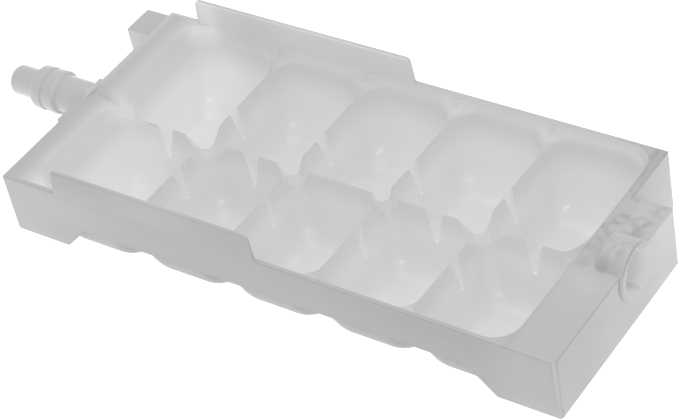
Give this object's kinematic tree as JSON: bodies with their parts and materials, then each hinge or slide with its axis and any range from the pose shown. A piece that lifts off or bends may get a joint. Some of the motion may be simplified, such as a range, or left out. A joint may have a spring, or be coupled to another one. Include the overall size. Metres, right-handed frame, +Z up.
{
  "type": "ice maker tray",
  "caption": "Twist-release ice cube tray of an automatic ice maker: two rows of cells, a journal at one end and a keyed drive socket at the other.",
  "frame": {"origin": "centre of the overall length and width, at the level of the cell bottoms", "axes": "+X along the tray from the idle end with the journal to the drive end with the socket, +Y across it from the near side to the far side, +Z up with the cells open upwards"},
  "size_m": [0.2574, 0.1004, 0.0434],
  "materials": {
    "moulding": "milky translucent polypropylene, smooth mould finish"
  },
  "bodies": {
    "root": {"cell_near_1": "moulding", "cell_near_2": "moulding", "cell_near_3": "moulding", "cell_near_4": "moulding", "cell_near_5": "moulding", "cell_far_1": "moulding", "cell_far_2": "moulding", "cell_far_3": "moulding", "cell_far_4": "moulding", "cell_far_5": "moulding", "near_side_wall": "moulding", "far_side_wall": "moulding", "idle_end_wall": "moulding", "drive_end_wall": "moulding", "near_splash_wall": "moulding", "far_splash_wall": "moulding", "end_box": "moulding", "drive_socket": "moulding", "socket_rib_near": "moulding", "socket_rib_far": "moulding", "socket_rib_low": "moulding", "journal_pad": "moulding", "idle_journal": "moulding", "twist_stop_lug": "moulding"}
  },
  "joints": []
}
